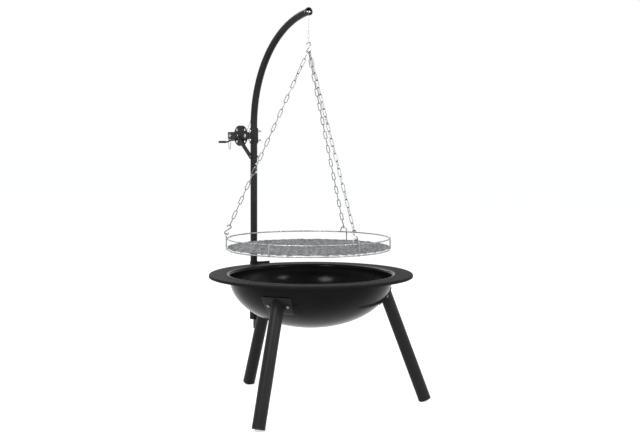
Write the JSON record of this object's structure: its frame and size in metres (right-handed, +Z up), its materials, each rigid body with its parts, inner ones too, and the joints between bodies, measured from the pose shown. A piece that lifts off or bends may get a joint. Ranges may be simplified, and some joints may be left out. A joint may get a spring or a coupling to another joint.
{
  "type": "fire pit with adjustable grill",
  "caption": "Dished fire bowl on splayed tube legs, with a swivelling curved mast whose winch raises and lowers a round chain-hung grill.",
  "frame": {"origin": "ground level, at the middle of the object's box", "axes": "+Z up, +Y from the bowl towards the mast and winch, the crank's handle towards -X"},
  "size_m": [0.7084, 0.851, 1.3262],
  "materials": {
    "black_coat": "semi-gloss powder coat",
    "bowl_coat": "semi-gloss heat-proof paint",
    "black_plastic": "moulded matte",
    "zinc": "bright zinc plate",
    "bright_steel": "polished",
    "grate_steel": "galvanised",
    "steel_cable": "stranded wire"
  },
  "bodies": {
    "stand": {"fire_bowl": "bowl_coat", "foot_cap_left": "black_plastic", "foot_cap_rear": "black_plastic", "foot_cap_right": "black_plastic", "leg_bolt_left_1": "zinc", "leg_bolt_left_2": "zinc", "leg_bolt_rear_1": "zinc", "leg_bolt_rear_2": "zinc", "leg_bolt_right_1": "zinc", "leg_bolt_right_2": "zinc", "leg_flange_left": "black_coat", "leg_flange_rear": "black_coat", "leg_flange_right": "black_coat", "leg_left": "black_coat", "leg_rear": "black_coat", "leg_right": "black_coat", "mast_socket": "black_coat", "rim_strap": "black_coat", "strap_screw": "zinc"},
    "mast": {"arm_collar": "black_plastic", "brace_bolt": "zinc", "cable_run": "steel_cable", "joint_bolt_lower": "zinc", "joint_bolt_upper": "zinc", "mast_arm": "black_coat", "mast_screw": "zinc", "mast_spigot": "grate_steel", "mast_tube": "black_coat", "plate_bolt_inner": "zinc", "plate_bolt_outer": "zinc", "roller_pin": "zinc", "saddle_bolt_lower": "zinc", "saddle_bolt_upper": "zinc", "winch_brace": "black_coat", "winch_plate_far": "black_coat", "winch_plate_near": "black_coat", "winch_saddle": "black_coat"},
    "reel": {"cable_reel": "black_coat", "cable_winding": "steel_cable", "crank_grip": "black_plastic", "crank_rod": "black_coat", "reel_axle": "zinc"},
    "keeper": {"crank_keeper": "zinc"},
    "roller": {"tip_roller": "bright_steel"},
    "hanger": {"cable_drop": "steel_cable"},
    "eye": {"cable_eye": "zinc"},
    "grate": {"chain_front": "zinc", "chain_hook_front": "zinc", "chain_hook_left": "zinc", "chain_hook_rear": "zinc", "chain_left": "zinc", "chain_rear": "zinc", "grate_mesh": "grate_steel", "grate_ring_lower": "zinc", "grate_ring_upper": "zinc", "hook_post_front": "zinc", "hook_post_left": "zinc", "hook_post_rear": "zinc", "top_hook": "zinc"}
  },
  "joints": [
    {"name": "mast_swivel", "type": "hinge", "parent": "stand", "child": "mast", "pos_m": [0, 0.26654, 0.241], "axis": [0, 0, 1], "range_deg": [-120, 120]},
    {"name": "grate_lift", "type": "slide", "parent": "mast", "child": "hanger", "axis": [0, 0, 1], "range_m": [-0.055, 0.035], "deforming": ["cable_drop"]},
    {"name": "drum_spin", "type": "hinge", "parent": "mast", "child": "reel", "pos_m": [0, 0.35454, 0.8945], "axis": [1, 0, 0], "range_deg": [-132, 85]},
    {"name": "roller_spin", "type": "hinge", "parent": "mast", "child": "roller", "pos_m": [0, -0.06746, 1.31127], "axis": [1, 0, 0], "range_deg": [-420, 659]},
    {"name": "keeper_swing", "type": "hinge", "parent": "mast", "child": "keeper", "pos_m": [-0.01045, 0.41454, 0.8849], "axis": [1, 0, 0], "range_deg": [-35, 35]},
    {"name": "grate_spin", "type": "hinge", "parent": "hanger", "child": "eye", "pos_m": [0, -0.07226, 1.2087], "axis": [0, 0, 1], "continuous": true},
    {"name": "grate_swing", "type": "hinge", "parent": "eye", "child": "grate", "pos_m": [0, -0.07226, 1.2087], "axis": [0.809, -0.5878, 0], "range_deg": [-3, 3]}
  ],
  "couplings": [
    {"joint": "drum_spin", "follows": "grate_lift", "rad_per_m": 40.984},
    {"joint": "roller_spin", "follows": "grate_lift", "rad_per_m": -208.33}
  ]
}
